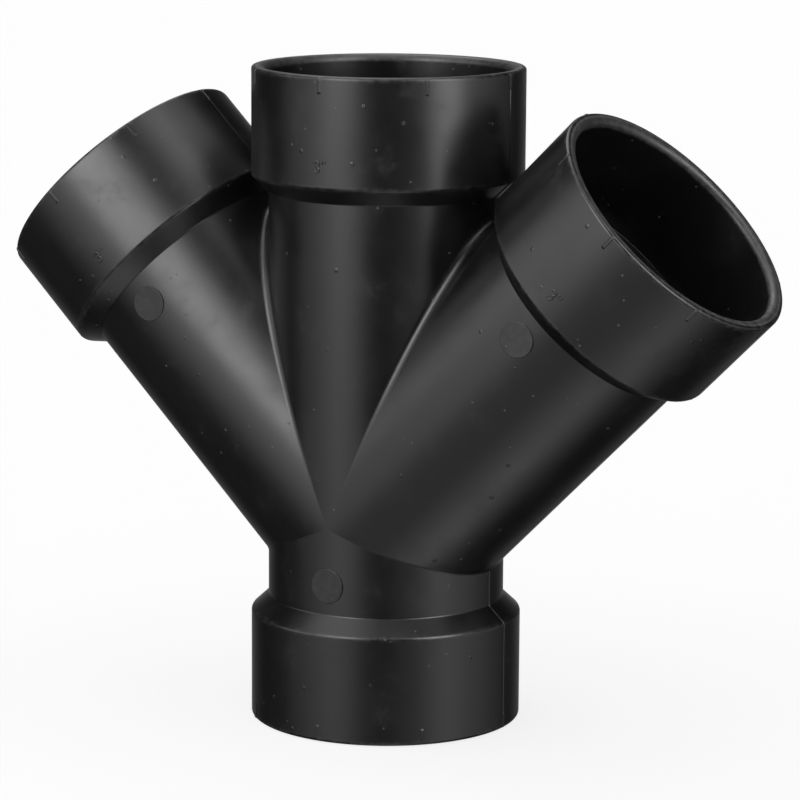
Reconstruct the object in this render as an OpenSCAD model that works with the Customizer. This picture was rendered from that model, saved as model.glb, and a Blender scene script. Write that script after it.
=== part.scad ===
// Double wye drain fitting for 3-inch pipe, moulded in one piece.
// A straight run stands on its lower mouth. A branch leaves it on each side, and
// all the axes meet at one point. Every end is a socket with a stop inside it.

/* [Run and branches] */
// Height of the run from its lower mouth to its upper mouth
run_h = 239.4; // [225:0.1:270]
// Distance from the meeting point of the axes to each of the other mouths
leg_len = 162.4; // [156:0.1:185]
// Angle between a branch and the upper part of the run
branch_angle = 45; // [43:0.5:50]
// Outer radius of the run and of the branches between their sockets
tube_r = 43.2; // [42.2:0.1:44.2]
// Radius of the waterway
waterway_r = 38.1; // [35:0.1:39.5]
// Radius of the blend where a branch leaves the run
blend_r = 3.2; // [2:0.1:4]

/* [Sockets] */
// Inner radius of each socket
socket_r = 44.6; // [44.45:0.05:45.2]
// Depth of each socket, from its mouth to the stop
socket_depth = 38.1; // [30:0.1:39]
// Outer radius of each socket
hub_r = 49.5; // [48.5:0.1:50.5]
// Length of the straight outer wall of each socket
hub_len = 39.5; // [36:0.1:42]
// Length of the sloping shoulder behind each socket
shoulder_len = 5.8; // [4:0.1:8]
// Edge radius round the outside of each mouth
mouth_round = 1.2; // [0.4:0.1:2]
// Edge radius round the inside of each mouth
entry_round = 2.5; // [1:0.1:3]
// Edge radius between the outer wall and the shoulder
shoulder_round = 1.6; // [0.6:0.1:3]
// Radius in the corner between the shoulder and the tube
foot_round = 0.8; // [0.3:0.1:2]

/* [Moulded marks] */
// How far the alignment ticks and the size marks stand out
mark_h = 0.3; // [0.1:0.05:0.6]
// Number of alignment ticks round each mouth
tick_count = 8; // [4:4:16]
// Distance from a mouth to the far end of its ticks
tick_len = 6.2; // [3:0.1:10]
// Width of an alignment tick
tick_w = 1.2; // [0.6:0.1:2]
// Height of the figure in a size mark
figure_h = 4.6; // [3:0.1:7]
// Distance from a mouth to the middle of its size mark
figure_at = 31.7; // [20:0.1:33]
// Radius of the round pads on the front
pad_r = 6.35; // [4:0.05:8]
// How far a pad stands out from the front of its tube
pad_h = 0.2; // [0.1:0.05:0.5]
// Distance from a mouth to the middle of its pad
pad_at = 56; // [54:0.5:62]
// Width of the ridge on the mould's parting line
parting_w = 0.9; // [0.3:0.1:1]
// Height of the ridge on the mould's parting line
parting_h = 0.25; // [0.1:0.05:0.3]

/* [Hidden] */
$fn = 96;

black = [0.035, 0.035, 0.037];

// The axes meet this far above the lower mouth.
meet_z = run_h - leg_len;
// The branches lean to both sides by the same angle.
leans = [branch_angle, -branch_angle];
// The tubes that end in an upper mouth.
upper = [0, branch_angle, -branch_angle];

// The shoulder leans in from the wall by this angle.
slope = atan2(hub_r - tube_r, shoulder_len);

// The blends are cut into flat facets: steps along a corner, sides across it.
blend_steps = 36;
blend_sides = 5;
// They bite this far into the tubes. Where they have all but died away, at these angles
// from the mould's parting plane, the last section sinks into the wall.
blend_bite = 0.05;
upper_reach = 74;
lower_reach = 50;
blend_sink = 1.2;
// Distance from each axis to the middle of the blend's round.
roll_r = tube_r + blend_r - blend_bite;
// Distance from a mouth to where its tube is straight.
tube_from = hub_len + shoulder_len + foot_round;

// Places its children at the meeting point, with +Z along a tube that leans by lean.
module along(lean) translate([0, 0, meet_z]) rotate([0, lean, 0]) children();

// Places its children at an upper mouth, with +Z pointing into the fitting.
module at_mouth(lean) along(lean) translate([0, 0, leg_len]) mirror([0, 0, 1]) children();

// Half section of the outside of one end, from its mouth at y = 0 up to y = len.
module outer_half(len) {
    top = shoulder_round * tan(slope / 2);
    low = foot_round * tan(slope / 2);
    down = [-sin(slope), cos(slope)];
    edge = [hub_r, hub_len];
    foot = [tube_r, hub_len + shoulder_len];
    polygon([[0, 0], [hub_r - mouth_round, 0], [hub_r, mouth_round], edge - [0, top],
        edge + top * down, foot, [tube_r, len], [0, len]]);
    translate([hub_r - mouth_round, mouth_round]) circle(mouth_round);
    translate([hub_r - shoulder_round, hub_len - top]) circle(shoulder_round);
    difference() {
        polygon([foot - low * down, foot + [0, low], foot + [-1, 0]]);
        translate(foot + [foot_round, low]) circle(foot_round);
    }
}

// Half section of the space inside one end: the socket, its stop and the waterway.
module inner_half(len) {
    translate([0, -1]) square([socket_r, socket_depth + 1]);
    square([waterway_r, len]);
    difference() {
        translate([socket_r - 1, -1]) square([1 + entry_round, 1 + entry_round]);
        translate([socket_r + entry_round, entry_round]) circle(entry_round);
    }
}

// Turns a half section of one end into the whole run, which has two ends.
module run_of() rotate_extrude() {
    children();
    translate([0, run_h]) mirror([0, 1]) children();
}

// The outside of the run and of both branches.
module outside() {
    run_of() outer_half(run_h / 2);
    for (lean = leans) at_mouth(lean) rotate_extrude() outer_half(leg_len);
}

// The space inside the run and both branches.
module inside() {
    run_of() inner_half(run_h / 2);
    for (lean = leans) at_mouth(lean) rotate_extrude() inner_half(leg_len);
}

// Middle of the blend's round at y, in the corner between the run and the right branch.
// up picks the corner above the branch, and otherwise it is the one below.
function roll(y, up) = let (w = sqrt(pow(roll_r, 2) - y * y))
    [w, y, (w * cos(branch_angle) + (up ? w : -w)) / sin(branch_angle)];

// One section of a blend, set in by sink: its hollow arc, then a point inside the wall.
function blend_ring(y, up, sink) = let (
    c = roll(y, up),
    lean = [sin(branch_angle), 0, cos(branch_angle)],
    to_run = [c[0], c[1], 0] / roll_r,
    to_branch = (c - (c * lean) * lean) / roll_r,
    both = to_run + to_branch,
    inward = -both / norm(both))
    concat([for (j = [0:blend_sides]) let (d = to_run * (blend_sides - j) + to_branch * j)
        c - blend_r * d / norm(d) + sink * inward],
        [c + (2 * blend_r / norm(both) + 1 + sink) * inward]);

// The blend in one corner between the run and the right branch.
module blend(up) {
    ring = blend_sides + 2;
    reach = up ? -upper_reach : lower_reach;
    points = [for (i = [0:blend_steps])
        each blend_ring(roll_r * sin(reach * (2 * i / blend_steps - 1)), up,
            i % blend_steps == 0 ? blend_sink : 0)];
    sides = [for (i = [0:blend_steps - 1], j = [0:ring - 1])
        let (a = i * ring + j, b = i * ring + (j + 1) % ring)
        each [[a, b, b + ring], [a, b + ring, a + ring]]];
    start = [for (j = [ring - 1:-1:0]) j];
    finish = [for (j = [0:ring - 1]) blend_steps * ring + j];
    polyhedron(points, concat(sides, [start, finish]), convexity = 6);
}

// The blends in the four corners where the branches leave the run.
module blends() translate([0, 0, meet_z]) for (side = [0, 1], up = [true, false])
    mirror([side, 0, 0]) blend(up);

// A fine ridge along both sides of a round wall.
module side_ridges(r, from, to) for (side = [0, 180]) rotate([0, 0, side])
    translate([r - 1, -parting_w / 2, from]) cube([1 + parting_h, parting_w, to - from]);

// What the two halves of the mould leave all round the outline.
module parting_ridge() {
    side_ridges(tube_r, tube_from, run_h - tube_from);
    side_ridges(hub_r, mouth_round, hub_len - shoulder_round);
    for (lean = upper) at_mouth(lean) side_ridges(hub_r, mouth_round, hub_len - shoulder_round);
    for (lean = leans) along(lean) side_ridges(tube_r, 0, leg_len - tube_from);
}

// Raised ticks round one mouth, for lining the fitting up.
module ticks() {
    for (i = [0:tick_count - 1]) rotate([0, 0, i * 360 / tick_count])
        translate([hub_r - 1, -tick_w / 2, mouth_round])
            cube([1 + mark_h, tick_w, tick_len - mouth_round]);
}

// The figure three, of two bows that meet in the middle.
module three() {
    stroke = figure_h * 0.16;
    bow_r = (figure_h + stroke) / 4;
    for (side = [-1, 1]) translate([0, side * (bow_r - stroke / 2)]) difference() {
        circle(bow_r);
        circle(bow_r - stroke);
        polygon([[0, 0], [-2 * bow_r, side * bow_r], [-2 * bow_r, -side * 2 * bow_r],
            [-bow_r * 0.3, -side * 2 * bow_r]]);
    }
}

// A size mark: the figure three and the two strokes that stand for inches.
module size_mark() {
    translate([-figure_h * 0.2, 0]) three();
    for (x = [0.22, 0.46]) translate([figure_h * x, figure_h * 0.2])
        square(figure_h * [0.12, 0.3]);
}

// The size mark on the front of an upper end, upright with its mouth at the top.
module front_mark() translate([0, 1 - hub_r, leg_len - figure_at]) rotate([90, 0, 0])
    linear_extrude(1 + mark_h) size_mark();

// A round flat pad on the front of a tube, dist away from the meeting point.
module pad(dist) translate([0, 2 - tube_r, dist]) rotate([90, 0, 0])
    cylinder(h = 2 + pad_h, r = pad_r);

module fitting_body() color(black) difference() {
    union() {
        outside();
        blends();
        parting_ridge();
        ticks();
        for (lean = upper) {
            at_mouth(lean) ticks();
            along(lean) front_mark();
        }
        along(0) pad(pad_at - meet_z);
        for (lean = leans) along(lean) pad(leg_len - pad_at);
    }
    inside();
}

fitting_body();
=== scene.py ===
# The looks of a double wye drain fitting, moulded in one piece of black plastic.
import math

import bmesh
import bpy
import numpy as np
from mathutils import Matrix, Vector


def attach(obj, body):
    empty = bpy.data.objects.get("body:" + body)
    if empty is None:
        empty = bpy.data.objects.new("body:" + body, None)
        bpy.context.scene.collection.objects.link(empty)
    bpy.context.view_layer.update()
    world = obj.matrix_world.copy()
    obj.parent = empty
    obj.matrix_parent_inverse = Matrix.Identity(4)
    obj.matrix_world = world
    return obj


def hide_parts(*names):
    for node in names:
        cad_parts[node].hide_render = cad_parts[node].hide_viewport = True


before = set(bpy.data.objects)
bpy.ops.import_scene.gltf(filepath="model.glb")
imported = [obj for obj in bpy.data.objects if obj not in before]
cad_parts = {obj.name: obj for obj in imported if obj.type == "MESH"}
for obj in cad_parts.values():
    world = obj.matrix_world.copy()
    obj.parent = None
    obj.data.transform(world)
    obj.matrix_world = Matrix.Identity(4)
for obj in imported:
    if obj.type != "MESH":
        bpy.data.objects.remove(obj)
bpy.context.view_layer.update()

# Sizes in millimetres, the same as in the part's source.
MM = 0.001
RUN_H = 239.4
LEG_LEN = 162.4
BRANCH_ANGLE = 45
TUBE_R = 43.2
WATERWAY_R = 38.1
BLEND_R = 3.2
SOCKET_R = 44.6
SOCKET_DEPTH = 38.1
HUB_R = 49.5
HUB_LEN = 39.5
SHOULDER_LEN = 5.8
MOUTH_ROUND = 1.2
ENTRY_ROUND = 2.5
SHOULDER_ROUND = 1.6
FOOT_ROUND = 0.8
MARK_H = 0.3
TICK_COUNT = 8
TICK_LEN = 6.2
TICK_W = 1.2
FIGURE_H = 4.6
FIGURE_AT = 31.7
PAD_R = 6.35
PAD_H = 0.2
PAD_AT = 56
PARTING_W = 0.9
PARTING_H = 0.25

# Small edge radii inside, where the core pins of the mould met the plastic.
STOP_CORNER_R = 0.08
STOP_EDGE_R = 0.4
WATERWAY_EDGE_R = 0.8

MEET_Z = RUN_H - LEG_LEN
SLOPE = math.degrees(math.atan2(HUB_R - TUBE_R, SHOULDER_LEN))
TOP_SETBACK = SHOULDER_ROUND * math.tan(math.radians(SLOPE / 2))
FOOT_SETBACK = FOOT_ROUND * math.tan(math.radians(SLOPE / 2))

BACK = np.array([0.0, 1.0, 0.0])
MEETING = np.array([0.0, 0.0, MEET_Z])


def leaning(angle):
    """Direction of an axis in the plane of the fitting, turned from +Z towards +X."""
    return np.array([math.sin(math.radians(angle)), 0.0, math.cos(math.radians(angle))])


# The four ends in turn: direction from the meeting point, and distance to the mouth.
ENDS = [
    (leaning(0), LEG_LEN),
    (leaning(BRANCH_ANGLE), LEG_LEN),
    (leaning(180), MEET_Z),
    (leaning(-BRANCH_ANGLE), LEG_LEN),
]
# Share of its height that the parting ridge keeps towards each end. The mould closed well
# there, except at the upper mouth.
RIDGE_LEFT = [1.0, 0.3, 0.6, 0.3]


def unit(v):
    return v / np.linalg.norm(v, axis=-1, keepdims=True)


def ease(low, high, x):
    """Rises smoothly from 0 at low to 1 at high."""
    t = np.clip((x - low) / (high - low), 0, 1)
    return t * t * (3 - 2 * t)


# ---- half section of one end ----
# A station is (distance from the mouth, radius, normal along, normal outward, wear).
# Wear is 1 on a rubbed edge, and up to 2 on the matte face that was trimmed at a mouth.


def bend(centre, radius, start, end, steps, wear=0.0, hollow=False):
    """Stations round one edge, turning its normal from start to end in degrees."""
    side = -1 if hollow else 1
    stations = []
    for k in range(steps + 1):
        turn = math.radians(start + (end - start) * k / steps)
        along, out = math.cos(turn), math.sin(turn)
        stations.append((centre[0] + side * radius * along, centre[1] + side * radius * out,
                         along, out, wear))
    return stations


def wall(radius, distances, out):
    return [(d, radius, 0.0, out, 0.0) for d in distances]


RIM_MID = [(0.0, (SOCKET_R + ENTRY_ROUND + HUB_R - MOUTH_ROUND) / 2, -1.0, 0.0, 2.0)]
OUTER = (
    RIM_MID
    + bend((MOUTH_ROUND, HUB_R - MOUTH_ROUND), MOUTH_ROUND, 180, 90, 7, wear=1.0)
    + wall(HUB_R, [2, 3.5, 5.5, 5.7, 5.85, 6, 6.15, 6.3, 9, 16, 23, 30,
                   HUB_LEN - TOP_SETBACK - 0.8], 1.0)
    + bend((HUB_LEN - TOP_SETBACK, HUB_R - SHOULDER_ROUND), SHOULDER_ROUND,
           90, 90 - SLOPE, 7, wear=0.7)
    + [(HUB_LEN + share * SHOULDER_LEN, HUB_R - share * (HUB_R - TUBE_R),
        math.sin(math.radians(SLOPE)), math.cos(math.radians(SLOPE)), 0.0)
       for share in (0.22, 0.5, 0.8)]
    + bend((HUB_LEN + SHOULDER_LEN + FOOT_SETBACK, TUBE_R + FOOT_ROUND), FOOT_ROUND,
           90 - SLOPE, 90, 4, hollow=True)
)
INNER = (
    RIM_MID
    + bend((ENTRY_ROUND, SOCKET_R + ENTRY_ROUND), ENTRY_ROUND, 180, 270, 10, wear=1.5)
    + wall(SOCKET_R, [3.2, 6, 14, 25], -1.0)
    + bend((SOCKET_DEPTH - STOP_CORNER_R, SOCKET_R - STOP_CORNER_R), STOP_CORNER_R,
           270, 180, 3, hollow=True)
    + bend((SOCKET_DEPTH + STOP_EDGE_R, WATERWAY_R + STOP_EDGE_R), STOP_EDGE_R, 180, 270, 3)
)


# ---- columns round a half tube ----

def around():
    """Angles from the front to the back of a half tube, close together at the ticks."""
    close = [0.0]
    for mm in (0.12, 0.24, 0.36, 0.44, 0.52, 0.6, 0.7):
        close += [-mm / HUB_R, mm / HUB_R]
    quarter = 2 * math.pi / TICK_COUNT
    half = math.pi / 2
    angles = set()
    for k in range(-TICK_COUNT // 4, TICK_COUNT // 4 + 1):
        angles.update(k * quarter + c for c in close)
    steps = 15
    for k in range(-TICK_COUNT // 4, TICK_COUNT // 4):
        angles.update((k + s / steps) * quarter for s in range(1, steps))
    return np.array(sorted(a for a in angles if -half - 1e-9 <= a <= half + 1e-9))


PHI = around()
COS, SIN = np.cos(PHI), np.sin(PHI)


def relief(phi, radius, distance, left):
    """Height of the parting ridge, of which a share is left, and of the ticks."""
    ridge = left * PARTING_H * (1 - ease(PARTING_W * 0.27, PARTING_W * 0.68,
                                         np.abs(radius * np.sin(phi))))
    if distance is None:
        return ridge
    pitch = 2 * math.pi / TICK_COUNT
    off = np.abs((phi + pitch / 2) % pitch - pitch / 2) * radius
    tick = (MARK_H * (1 - ease(TICK_W * 0.34, TICK_W * 0.55, off))
            * ease(0.15, 0.9, distance) * (1 - ease(TICK_LEN - 0.6, TICK_LEN, distance)))
    return np.maximum(ridge * ease(0.1, 1.0, distance), tick)


def raised(points, normals, sideways, onward, radius, distance, left):
    """Lifts a row by its relief and tilts its normals to suit."""
    step = 1e-4
    lift = relief(PHI, radius, distance, left)
    across = (relief(PHI + step, radius, distance, left)
              - relief(PHI - step, radius, distance, left)) / (2 * step * radius)
    tilted = normals - across[:, None] * sideways
    if distance is not None:
        along = (relief(PHI, radius, distance + 0.01, left)
                 - relief(PHI, radius, distance - 0.01, left)) / 0.02
        tilted = tilted - along[:, None] * onward
    return points + lift[:, None] * normals, unit(tilted)


# ---- one quarter of the fitting, from one mouth to the next ----

TUBE_STEPS = 9


def joined(first, second, left, stations, radius, corner_r, outside):
    """Rows from one mouth to the next, over the corner between their two tubes."""
    reach = radius + corner_r
    opening = math.acos(float(first[0] @ second[0])) / 2
    contact = reach * COS / math.tan(opening)
    sides, swings = [], []
    for (axis, leg), other, kept in ((first, second[0], left[0]), (second, first[0], left[1])):
        toward = unit(other - (other @ axis) * axis)
        swing = COS[:, None] * toward + SIN[:, None] * BACK
        sideways = COS[:, None] * BACK - SIN[:, None] * toward
        rows = []
        for d, r, along, out, wear in stations:
            points = MEETING + (leg - d) * axis + r * swing
            normals = out * swing - along * axis
            if outside:
                onward = -out * axis - along * swing
                points, normals = raised(points, normals, sideways, out * onward, r, d, kept)
            rows.append((points, normals, wear))
        begin = leg - stations[-1][0]
        for share in np.arange(1, TUBE_STEPS) / TUBE_STEPS:
            t = begin + (contact - begin) * share
            points = MEETING + t[:, None] * axis + radius * swing
            normals = swing if outside else -swing
            if outside:
                points, normals = raised(points, normals, sideways, None, radius, None, kept)
            rows.append((points, normals, 0.0))
        sides.append(rows)
        swings.append(swing)
    corner = MEETING + contact[:, None] * first[0] + reach * swings[0]
    turn = np.arccos(np.clip((swings[0] * swings[1]).sum(1), -1, 1))
    middle = []
    steps = 10
    for k in range(steps + 1):
        share = k / steps
        safe = np.where(turn > 1e-5, np.sin(turn), 1)
        a = np.where(turn > 1e-5, np.sin((1 - share) * turn) / safe, 1 - share)
        b = np.where(turn > 1e-5, np.sin(share * turn) / safe, share)
        out = unit(a[:, None] * swings[0] + b[:, None] * swings[1])
        points = corner - corner_r * out
        if outside:
            kept = (1 - share) * left[0] + share * left[1]
            points, out = raised(points, out, np.tile(BACK, (len(PHI), 1)), None, radius, None,
                                 kept)
        middle.append((points, out if outside else -out, 0.0))
    return sides[0] + middle + sides[1][::-1]


class Moulding:
    """Gathers the points, normals and wear of the fitting's one closed wall."""

    def __init__(self):
        self.points, self.normals, self.wear, self.faces = [], [], [], []
        self.count = 0

    def grid(self, rows, closed=False, round_=False):
        """Adds rows of points; closed joins the last row to the first, round_ each row's ends."""
        n, m = len(rows), len(rows[0][0])
        points = np.array([r[0] for r in rows])
        normals = np.array([r[1] for r in rows])
        i, j = np.meshgrid(np.arange(n if closed else n - 1),
                           np.arange(m if round_ else m - 1), indexing="ij")
        i2, j2 = (i + 1) % n, (j + 1) % m
        quads = np.stack([i * m + j, i2 * m + j, i2 * m + j2, i * m + j2], -1).reshape(-1, 4)
        flat, lean = points.reshape(-1, 3), normals.reshape(-1, 3)
        face = np.cross(flat[quads[:, 2]] - flat[quads[:, 0]], flat[quads[:, 3]] - flat[quads[:, 1]])
        if (face * lean[quads].sum(1)).sum() < 0:
            quads = quads[:, ::-1]
        self.faces += (quads + self.count).tolist()
        self.points.append(flat)
        self.normals.append(lean)
        for row in rows:
            self.wear.append(np.broadcast_to(row[2], m).astype(float))
        self.count += n * m

    def piece(self, name):
        """Makes the object, welds its seams and gives each point its true normal."""
        mesh = bpy.data.meshes.new(name)
        mesh.from_pydata((np.concatenate(self.points) * MM).tolist(), [], self.faces)
        normal = mesh.attributes.new("true_normal", "FLOAT_VECTOR", "POINT")
        normal.data.foreach_set("vector", np.concatenate(self.normals).ravel())
        wear = mesh.attributes.new("wear", "FLOAT", "POINT")
        wear.data.foreach_set("value", np.concatenate(self.wear))
        weld = bmesh.new()
        weld.from_mesh(mesh)
        bmesh.ops.remove_doubles(weld, verts=weld.verts, dist=1e-6)
        weld.to_mesh(mesh)
        weld.free()
        mesh.shade_smooth()
        kept = np.zeros(len(mesh.vertices) * 3)
        mesh.attributes["true_normal"].data.foreach_get("vector", kept)
        mesh.attributes.remove(mesh.attributes["true_normal"])
        mesh.normals_split_custom_set_from_vertices(kept.reshape(-1, 3).tolist())
        made = bpy.data.objects.new(name, mesh)
        bpy.context.collection.objects.link(made)
        return made


def add_wall(moulding):
    for k in range(4):
        first, second = ENDS[k], ENDS[(k + 1) % 4]
        left = RIDGE_LEFT[k], RIDGE_LEFT[(k + 1) % 4]
        outer = joined(first, second, left, OUTER, TUBE_R, BLEND_R, True)
        inner = joined(first, second, left, INNER, WATERWAY_R, WATERWAY_EDGE_R, False)
        moulding.grid(outer + inner[-2:0:-1], closed=True)


# ---- marks on the front ----

def add_pad(moulding, axis, distance):
    """A round flat pad on the front of a tube."""
    centre = MEETING + distance * axis - TUBE_R * BACK
    across = np.cross(BACK, axis)
    edge, depth = 0.18, -1.5
    profile = [(0.0, PAD_H, 0.0, 1.0, 0.5), (PAD_R * 0.6, PAD_H, 0.0, 1.0, 0.5)]
    for k in range(5):
        turn = math.radians(90 - 90 * k / 4)
        profile.append((PAD_R - edge + edge * math.cos(turn), PAD_H - edge + edge * math.sin(turn),
                        math.cos(turn), math.sin(turn), 0.5))
    profile += [(PAD_R, -0.6, 1.0, 0.0, 0.0), (PAD_R, depth, 0.7, -0.7, 0.0),
                (0.0, depth, 0.0, -1.0, 0.0)]
    turns = np.linspace(0, 2 * math.pi, 97)[:-1]
    spokes = np.cos(turns)[:, None] * across + np.sin(turns)[:, None] * axis
    rows = []
    for rho, high, out, up, wear in profile:
        rows.append((centre + rho * spokes - high * BACK, out * spokes - up * BACK, wear))
    moulding.grid(rows, round_=True)


def add_stroke(moulding, axis, path, width):
    """One raised stroke of a size mark, bent round the front of a hub."""
    path = np.array(path, float)
    tangent = unit(np.gradient(path, axis=0))
    half = width / 2
    section = [(-1.0, -0.5, -1.0, 0.0), (-1.0, 0.12, -1.0, 0.1), (-0.9, 0.22, -0.8, 0.6),
               (-0.65, 0.29, -0.3, 0.95), (0.0, MARK_H, 0.0, 1.0), (0.65, 0.29, 0.3, 0.95),
               (0.9, 0.22, 0.8, 0.6), (1.0, 0.12, 1.0, 0.1), (1.0, -0.5, 1.0, 0.0)]
    stops = [(path[0], tangent[0], -math.sin(a), math.cos(a))
             for a in np.radians([90, 67, 45, 22])]
    stops += [(p, t, 0.0, 1.0) for p, t in zip(path, tangent)]
    stops += [(path[-1], tangent[-1], math.sin(a), math.cos(a))
              for a in np.radians([22, 45, 67, 90])]
    across = np.cross(BACK, axis)
    rows = []
    for place, way, push, wide in stops:
        side = np.array([way[1], -way[0]])
        points, normals = [], []
        for off, high, out, up in section:
            flat = place + half * (abs(off) * push * way + off * wide * side)
            lean = abs(out) * push * way + out * wide * side
            turn = flat[0] / HUB_R
            outward = math.sin(turn) * across - math.cos(turn) * BACK
            around_ = math.cos(turn) * across + math.sin(turn) * BACK
            points.append(MEETING + (LEG_LEN - FIGURE_AT + flat[1]) * axis
                          + (HUB_R + high) * outward)
            normals.append(up * outward + lean[0] * around_ + lean[1] * axis)
        rows.append((np.array(points), unit(np.array(normals)), 0.4))
    moulding.grid(rows)


def add_size_mark(moulding, axis):
    """The figure three and the two strokes that stand for inches."""
    stroke = FIGURE_H * 0.16
    bow_r = (FIGURE_H + stroke) / 4 - stroke / 2
    for side in (1, -1):
        turns = np.radians(np.linspace(150, -90, 21)) * side
        path = [(bow_r * math.cos(t) - FIGURE_H * 0.2, side * bow_r + bow_r * math.sin(t))
                for t in turns]
        add_stroke(moulding, axis, path, stroke)
    for x in (0.28, 0.52):
        path = [(FIGURE_H * x, FIGURE_H * y) for y in (0.26, 0.35, 0.44)]
        add_stroke(moulding, axis, path, FIGURE_H * 0.12)


moulding = Moulding()
add_wall(moulding)
for axis, leg in ENDS[1:]:
    add_pad(moulding, axis, leg - PAD_AT)
for axis in (ENDS[0][0], ENDS[1][0], ENDS[3][0]):
    add_size_mark(moulding, axis)
fitting = moulding.piece("moulded_fitting")


# ---- the plastic ----

class Amount:
    """A number that varies over the plastic: the output of one node."""

    def __init__(self, finish, socket):
        self.finish, self.socket = finish, socket

    def maths(self, operation, *values):
        return self.finish.node("ShaderNodeMath", {"operation": operation},
                                dict(enumerate(values)))

    def __add__(self, other):
        return self.maths("ADD", self, other)

    __radd__ = __add__

    def __mul__(self, other):
        return self.maths("MULTIPLY", self, other)

    __rmul__ = __mul__

    def __sub__(self, other):
        return self.maths("SUBTRACT", self, other)

    def __rsub__(self, other):
        return self.maths("SUBTRACT", other, self)

    def __pow__(self, other):
        return self.maths("POWER", self, other)

    def between(self, low, high):
        """Rises smoothly from 0 at low to 1 at high."""
        return self.finish.node("ShaderNodeMapRange", {"interpolation_type": "SMOOTHSTEP"},
                                {"Value": self, "From Min": low, "From Max": high})


class Finish:
    """A node tree being filled: a material, or the world."""

    def __init__(self, holder):
        holder.use_nodes = True
        self.tree = holder.node_tree
        self.tree.nodes.clear()

    def node(self, kind, settings=None, values=None, output=0):
        """Adds a node, sets it up, gives its sockets their values or links, and hands back an output."""
        made = self.tree.nodes.new(kind)
        for name, value in (settings or {}).items():
            if name == "stops":
                ramp = made.color_ramp
                while len(ramp.elements) < len(value):
                    ramp.elements.new(0.5)
                for element, (place, colour) in zip(ramp.elements, value):
                    element.position = place
                    element.color = colour
            else:
                setattr(made, name, value)
        for name, value in (values or {}).items():
            socket = made.inputs[name]
            if isinstance(value, Amount):
                self.tree.links.new(value.socket, socket)
            else:
                socket.default_value = value
        return Amount(self, made.outputs[output]) if len(made.outputs) else made


def black_plastic():
    material = bpy.data.materials.new("moulded_black_plastic")
    finish = Finish(material)
    place = finish.node("ShaderNodeTexCoord", output="Object")

    def noise(scale, detail=2.0, rough=0.5, offset=(0, 0, 0)):
        moved = finish.node("ShaderNodeVectorMath", {"operation": "ADD"}, {0: place, 1: offset})
        return finish.node("ShaderNodeTexNoise", {}, {
            "Vector": moved, "Scale": scale, "Detail": detail, "Roughness": rough})

    broad = noise(22, 2.0)
    cloudy = noise(70, 3.0, 0.55, (3, 1, 2))
    fine = noise(420, 3.0, 0.6, (5, 2, 7))
    peel = noise(1500, 2.0, 0.5, (1, 8, 4))
    wear = finish.node("ShaderNodeAttribute", {"attribute_name": "wear"}, output="Fac")

    # Dust and small nicks: a few spots, each in its own cell.
    cells = finish.node("ShaderNodeTexVoronoi", {}, {"Vector": place, "Scale": 150.0})
    chance = noise(47, 0.0, 0.5, (9, 9, 1))
    nicks = (1 - cells.between(0.03, 0.09)) * chance.between(0.44, 0.48)

    # Scars: rough spots a millimetre or two across, far apart.
    marks = finish.node("ShaderNodeTexVoronoi", {}, {"Vector": place, "Scale": 95.0})
    scars = (1 - marks.between(0.04, 0.09)) * fine.between(0.38, 0.55)

    smudged = cloudy.between(0.56, 0.68) * fine.between(0.35, 0.65)
    trimmed = wear.between(1.05, 2.0)
    rubbed = wear.maths("MINIMUM", wear, 1) * fine.between(0.35, 0.7)
    roughness = (0.32 + 0.16 * (cloudy - 0.5) + 0.08 * (broad - 0.5) + 0.05 * (fine - 0.5)
                 + 0.10 * rubbed + 0.12 * trimmed + 0.05 * smudged
                 + 0.25 * nicks + 0.1 * scars)
    height = 0.12 * broad + 0.018 * cloudy + 0.0035 * peel + 0.03 * nicks + 0.12 * scars
    bump = finish.node("ShaderNodeBump", {}, {
        "Height": height, "Strength": 1.0, "Distance": MM})

    tone = finish.node("ShaderNodeValToRGB", {"stops": [
        (0.0, (0.0034, 0.0034, 0.0036, 1)),
        (0.6, (0.0048, 0.0048, 0.0049, 1)),
        (1.0, (0.0085, 0.0084, 0.0082, 1)),
    ]}, {"Fac": 0.6 * cloudy + 0.4 * fine})
    lighter = finish.node("ShaderNodeMix", {"data_type": "RGBA"}, {
        0: 0.3 * rubbed + 0.75 * trimmed + 0.04 * smudged + 0.9 * nicks + 0.12 * scars,
        6: tone, 7: (0.07, 0.07, 0.07, 1)}, output=2)
    shade = finish.node("ShaderNodeBsdfPrincipled", {}, {
        "Base Color": lighter, "Roughness": roughness, "IOR": 1.5, "Specular IOR Level": 0.5,
        "Normal": bump})
    finish.node("ShaderNodeOutputMaterial", {}, {"Surface": shade})
    return material


fitting.data.materials.append(black_plastic())
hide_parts("fitting_body")
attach(fitting, "root")


# ---- camera at the photograph's angle ----

CAMERA_AZIMUTH = math.radians(29.184)
CAMERA_ELEVATION = math.radians(10.578)
CAMERA_ROLL = math.radians(0.372)
CAMERA_DISTANCE = 1322.5
LENS = 163.02


def around_object(azimuth, elevation):
    """Direction from the object, azimuth 0 being its front."""
    return Vector((math.sin(azimuth) * math.cos(elevation),
                   -math.cos(azimuth) * math.cos(elevation), math.sin(elevation)))


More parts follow.
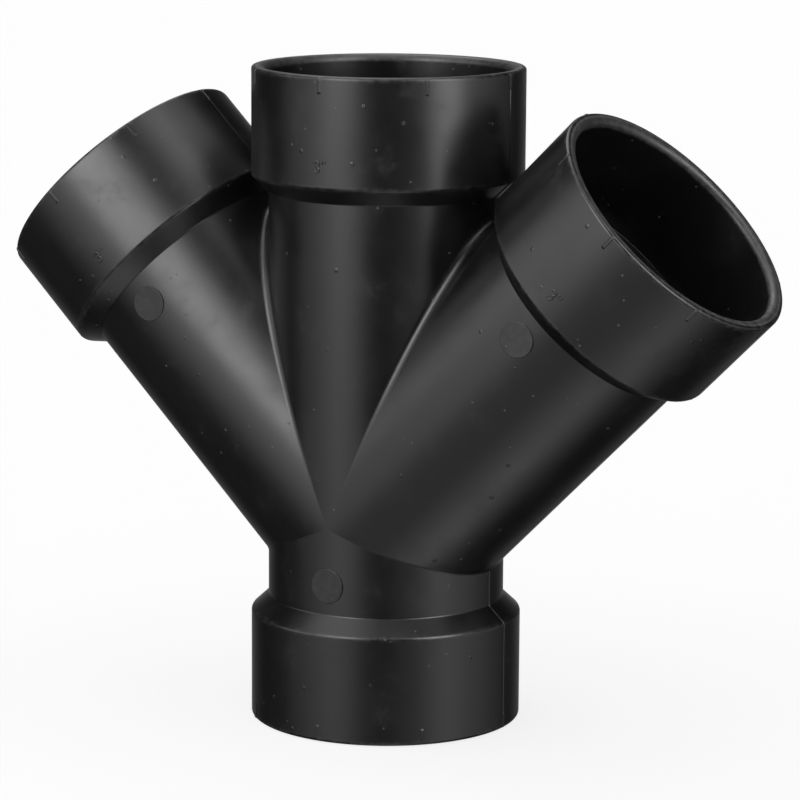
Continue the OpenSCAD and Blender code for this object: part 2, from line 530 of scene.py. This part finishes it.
def add_camera():
    behind = around_object(CAMERA_AZIMUTH, CAMERA_ELEVATION)
    level = Vector((math.cos(CAMERA_AZIMUTH), math.sin(CAMERA_AZIMUTH), 0))
    upright = behind.cross(level)
    right = level * math.cos(CAMERA_ROLL) + upright * math.sin(CAMERA_ROLL)
    up = upright * math.cos(CAMERA_ROLL) - level * math.sin(CAMERA_ROLL)
    target = Vector((0, 0, 125)) + 4.695 * right - 7.821 * up
    data = bpy.data.cameras.new("camera")
    data.lens = LENS
    data.sensor_width = 36
    camera = bpy.data.objects.new("camera", data)
    turned = Matrix((right, up, behind)).transposed().to_4x4()
    camera.matrix_world = Matrix.Translation((target + CAMERA_DISTANCE * behind) * MM) @ turned
    bpy.context.collection.objects.link(camera)
    bpy.context.scene.camera = camera


add_camera()


# ---- floor, world and lamps ----

# Light from all sides on the plastic's own colour, and the least light in its gloss.
EVEN = 0.25
FAINT = 0.01
# Broad soft light in the gloss: azimuth from the camera, elevation, the angles at which it
# is full and gone, all in degrees, and strength.
GLOWS = [
    (0, 85, 5, 45, 0.5),
    (-80, 60, 0, 25, 2.0),
    (-85, 18, 0, 23, 1.8),
    (-64, 16, 0, 20, 0.9),
    (-57, -5, 0, 20, 0.8),
    (-40, -5, 0, 22, 1.2),
    (-76, -5, 0, 22, 0.5),
    (50, 42, 0, 22, 2.9),
    (86, 60, 2, 28, 1.1),
    (40, 62, 0, 22, 1.1),
    (80, -5, 0, 24, 0.8),
    (60, -5, 0, 22, 0.5),
    (106, -5, 0, 22, 0.3),
    (50, -25, 0, 22, 1.2),
    (22, -25, 0, 24, 0.5),
    (-108, -26, 0, 22, 0.06),
    (-50, -34, 0, 20, 0.1),
    (-25, -36, 4, 28, 0.5),
    (0, -68, 0, 24, 1.0),
    (45, -68, 0, 24, 0.5),
    (-165, 56, 6, 26, 3.0),
    (180, -14, 8, 48, 0.17),
    (180, -10, 4, 20, 0.3),
]


def add_floor():
    mesh = bpy.data.meshes.new("floor")
    turns = np.linspace(0, 2 * math.pi, 65)[:-1]
    mesh.from_pydata([(30 * math.cos(t), 30 * math.sin(t), -0.0002) for t in turns], [],
                     [list(range(64))])
    floor = bpy.data.objects.new("floor", mesh)
    bpy.context.collection.objects.link(floor)
    material = bpy.data.materials.new("white_floor")
    finish = Finish(material)
    lit = finish.node("ShaderNodeBsdfDiffuse", {}, {"Color": (0.95, 0.95, 0.95, 1)})
    glow = finish.node("ShaderNodeEmission", {}, {"Color": (1, 1, 1, 1), "Strength": 1.0})
    seen = finish.node("ShaderNodeLightPath", output="Is Camera Ray")
    shade = finish.node("ShaderNodeMixShader", {}, {0: 0.8 * seen, 1: lit, 2: glow})
    finish.node("ShaderNodeOutputMaterial", {}, {"Surface": shade})
    mesh.materials.append(material)
    floor.visible_glossy = False
    floor.visible_shadow = False


def light_world():
    """White to the camera; to the gloss of the plastic, the soft light of a studio's walls."""
    world = bpy.data.worlds.new("studio")
    bpy.context.scene.world = world
    finish = Finish(world)
    seen, glossy, through = (finish.node("ShaderNodeLightPath", output=name)
                             for name in ("Is Camera Ray", "Is Glossy Ray", "Is Transmission Ray"))
    mirrored = glossy.maths("MAXIMUM", glossy, through)
    way = finish.node("ShaderNodeTexCoord", output="Generated")

    def lobe(azimuth, elevation, inner, outer):
        """1 within inner degrees of a direction, and 0 beyond outer degrees."""
        middle = around_object(CAMERA_AZIMUTH + math.radians(azimuth), math.radians(elevation))
        near = finish.node("ShaderNodeVectorMath", {"operation": "DOT_PRODUCT"},
                           {0: way, 1: middle}, output="Value")
        return near.between(math.cos(math.radians(outer)), math.cos(math.radians(inner)))

    gloss = FAINT
    for azimuth, elevation, inner, outer, strength in GLOWS:
        gloss = gloss + strength * lobe(azimuth, elevation, inner, outer)
    plain = EVEN * (1 - mirrored) + gloss * mirrored
    back = finish.node("ShaderNodeBackground", {}, {
        "Color": (1, 1, 1, 1), "Strength": plain.maths("MAXIMUM", plain, seen)})
    finish.node("ShaderNodeOutputWorld", {}, {"Surface": back})


def add_softbox(name, azimuth, elevation, distance, width, height, radiance):
    """A lamp with a flat face, seen only in the gloss of the plastic."""
    data = bpy.data.lights.new(name, "AREA")
    data.shape = "RECTANGLE"
    data.size, data.size_y = width, height
    data.energy = radiance * math.pi * width * height
    lamp = bpy.data.objects.new(name, data)
    out = around_object(CAMERA_AZIMUTH + math.radians(azimuth), math.radians(elevation))
    lamp.location = Vector((0, 0, 0.13)) + out * distance
    lamp.rotation_euler = out.to_track_quat("Z", "Y").to_euler()
    lamp.visible_camera = False
    lamp.visible_diffuse = False
    bpy.context.collection.objects.link(lamp)


def add_sun():
    data = bpy.data.lights.new("overhead", "SUN")
    data.energy = 2.4
    data.angle = math.radians(100)
    lamp = bpy.data.objects.new("overhead", data)
    lamp.rotation_euler = (math.radians(12), math.radians(-8), 0)
    lamp.visible_glossy = False
    bpy.context.collection.objects.link(lamp)


add_floor()
light_world()
add_softbox("softbox_left", -40, 28, 1.0, 0.46, 0.80, 7.0)
add_softbox("softbox_right", 48, 22, 1.0, 0.48, 0.90, 5.7)
add_sun()
bpy.context.scene.view_settings.view_transform = "Standard"
